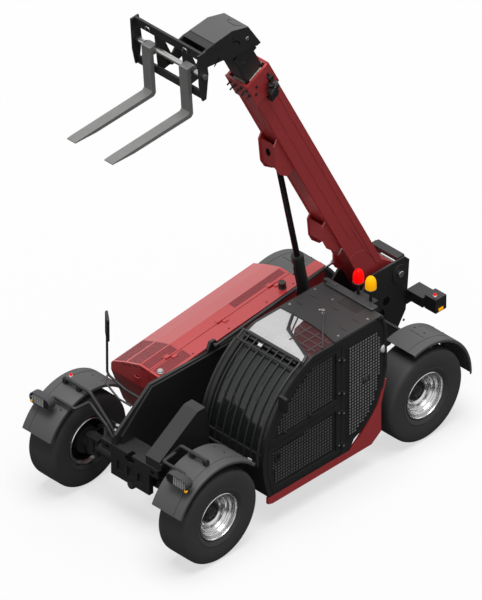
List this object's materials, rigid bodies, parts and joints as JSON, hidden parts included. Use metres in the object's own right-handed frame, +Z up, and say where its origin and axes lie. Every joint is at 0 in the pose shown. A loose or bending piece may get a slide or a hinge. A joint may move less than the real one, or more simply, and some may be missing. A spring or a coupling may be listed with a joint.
{
  "type": "telehandler",
  "caption": "Telehandler with raised telescopic boom, fork carriage, side cab with split door, side engine bonnet and four steered wheels.",
  "frame": {"origin": "on the ground, midway between the fork tips and the lamp arms, on the machine's middle plane", "axes": "+X forward, +Y the machine's left, +Z up"},
  "size_m": [4.591, 2.392, 5.7888],
  "materials": {
    "tyre": "moulded rubber",
    "rim": "silver enamel",
    "black_paint": "satin black enamel",
    "fender": "textured moulding",
    "red_paint": "gloss red enamel",
    "bright_steel": "ground bar",
    "cast_iron": "painted casting",
    "glass": "tinted sheet",
    "seat": "coated fabric",
    "plastic": "moulded",
    "lamp": "clear lens",
    "red_lens": "red lens",
    "pad": "nylon"
  },
  "bodies": {
    "chassis": {"side_plates": "black_paint", "rails": "black_paint", "frame_pan": "black_paint", "front_cross_bar": "black_paint", "turret_braces": "black_paint", "frame_pins": "bright_steel", "axles": "cast_iron", "cab_frame": "black_paint", "cab_glass": "glass", "seat_base": "plastic", "seat_pads": "seat", "steering_column": "plastic", "side_skirt": "red_paint", "windscreen_guard": "black_paint", "engine_block": "cast_iron", "engine_panels": "red_paint", "headlamps": "lamp", "lamp_brackets": "black_paint", "tail_arms": "black_paint", "tail_lamps": "red_lens", "beacons": "red_lens", "beacon_bracket": "black_paint", "mirrors": "plastic", "fender_arms": "black_paint", "fender_front_left": "fender", "fender_front_right": "fender", "fender_rear_left": "fender", "fender_rear_right": "fender"},
    "boom": {"boom_outer": "red_paint", "wear_pads": "pad", "boom_lamp": "plastic"},
    "inner_boom": {"boom_inner": "black_paint", "boom_head": "black_paint"},
    "carriage": {"fork_carriage": "black_paint", "fork_shaft": "bright_steel", "fork_tines": "black_paint"},
    "lift_barrel": {"lift_barrel": "black_paint"},
    "lift_rod": {"lift_rod": "bright_steel"},
    "level_barrel": {"level_barrel": "bright_steel"},
    "level_rod": {"level_rod": "bright_steel"},
    "door_upper": {"door_upper": "black_paint", "door_upper_glass": "glass"},
    "door_lower": {"door_lower": "black_paint", "door_lower_glass": "glass"},
    "bonnet_lid": {"bonnet_lid": "red_paint"},
    "steer_front_left": {"knuckle_front_left": "cast_iron"},
    "wheel_front_left": {"tyre_front_left": "tyre", "rim_front_left": "rim"},
    "steer_front_right": {"knuckle_front_right": "cast_iron"},
    "wheel_front_right": {"tyre_front_right": "tyre", "rim_front_right": "rim"},
    "steer_rear_left": {"knuckle_rear_left": "cast_iron"},
    "wheel_rear_left": {"tyre_rear_left": "tyre", "rim_rear_left": "rim"},
    "steer_rear_right": {"knuckle_rear_right": "cast_iron"},
    "wheel_rear_right": {"tyre_rear_right": "tyre", "rim_rear_right": "rim"}
  },
  "joints": [
    {"name": "boom_lift", "type": "hinge", "parent": "chassis", "child": "boom", "pos_m": [-1.989, 0, 1.379], "axis": [0, -1, 0], "range_deg": [-64.5, 2]},
    {"name": "telescope", "type": "slide", "parent": "boom", "child": "inner_boom", "axis": [0.4586, 0, 0.8886], "range_m": [0, 2.2]},
    {"name": "carriage_tilt", "type": "hinge", "parent": "inner_boom", "child": "carriage", "pos_m": [0.92952, 0, 5.30018], "axis": [0, 1, 0], "range_deg": [-76, 58]},
    {"name": "lift_barrel_swing", "type": "hinge", "parent": "chassis", "child": "lift_barrel", "pos_m": [-1, 0, 0.75], "axis": [0, -1, 0], "range_deg": [-74.4, 2.32]},
    {"name": "lift_rod_slide", "type": "slide", "parent": "lift_barrel", "child": "lift_rod", "axis": [0.2133, 0, 0.977], "range_m": [-1.20133, 0.03822]},
    {"name": "level_barrel_swing", "type": "hinge", "parent": "chassis", "child": "level_barrel", "pos_m": [0.31, -0.1685, 1.42], "axis": [0, -1, 0], "range_deg": [-0.66, 21.06]},
    {"name": "level_rod_slide", "type": "slide", "parent": "level_barrel", "child": "level_rod", "axis": [-0.9933, 0, 0.116], "range_m": [-0.00614, 0.16678]},
    {"name": "door_upper_hinge", "type": "hinge", "parent": "chassis", "child": "door_upper", "pos_m": [-0.24, 1.1125, 1.4], "axis": [0, 0, 1], "range_deg": [0, 150]},
    {"name": "door_lower_hinge", "type": "hinge", "parent": "chassis", "child": "door_lower", "pos_m": [-0.24, 1.1125, 0.7], "axis": [0, 0, 1], "range_deg": [0, 95]},
    {"name": "bonnet_hinge", "type": "hinge", "parent": "chassis", "child": "bonnet_lid", "pos_m": [1.03, -0.4325, 1.334], "axis": [-0.9947, 0, 0.1025], "range_deg": [0, 60]},
    {"name": "steer_front_left", "type": "hinge", "parent": "chassis", "child": "steer_front_left", "pos_m": [1.56, 0.735, 0.5375], "axis": [0, 0, 1], "range_deg": [-28, 28]},
    {"name": "wheel_front_left_spin", "type": "hinge", "parent": "steer_front_left", "child": "wheel_front_left", "pos_m": [1.56, 0.95, 0.5375], "axis": [0, 1, 0], "continuous": true},
    {"name": "steer_front_right", "type": "hinge", "parent": "chassis", "child": "steer_front_right", "pos_m": [1.56, -0.735, 0.5375], "axis": [0, 0, 1], "range_deg": [-28.01, 28.01]},
    {"name": "wheel_front_right_spin", "type": "hinge", "parent": "steer_front_right", "child": "wheel_front_right", "pos_m": [1.56, -0.95, 0.5375], "axis": [0, 1, 0], "continuous": true},
    {"name": "steer_rear_left", "type": "hinge", "parent": "chassis", "child": "steer_rear_left", "pos_m": [-1.46, 0.735, 0.5375], "axis": [0, 0, -1], "range_deg": [-28, 28]},
    {"name": "wheel_rear_left_spin", "type": "hinge", "parent": "steer_rear_left", "child": "wheel_rear_left", "pos_m": [-1.46, 0.95, 0.5375], "axis": [0, 1, 0], "continuous": true},
    {"name": "steer_rear_right", "type": "hinge", "parent": "chassis", "child": "steer_rear_right", "pos_m": [-1.46, -0.735, 0.5375], "axis": [0, 0, -1], "range_deg": [-28.01, 28.01]},
    {"name": "wheel_rear_right_spin", "type": "hinge", "parent": "steer_rear_right", "child": "wheel_rear_right", "pos_m": [-1.46, -0.95, 0.5375], "axis": [0, 1, 0], "continuous": true}
  ],
  "couplings": [
    {"joint": "lift_barrel_swing", "follows": "boom_lift", "ratio": 1.1533},
    {"joint": "lift_rod_slide", "follows": "boom_lift", "m_per_rad": 1.0663},
    {"joint": "level_barrel_swing", "follows": "boom_lift", "ratio": -0.32633},
    {"joint": "level_rod_slide", "follows": "boom_lift", "m_per_rad": -0.14726},
    {"joint": "steer_front_right", "follows": "steer_front_left", "ratio": 1},
    {"joint": "steer_rear_right", "follows": "steer_rear_left", "ratio": 1}
  ]
}
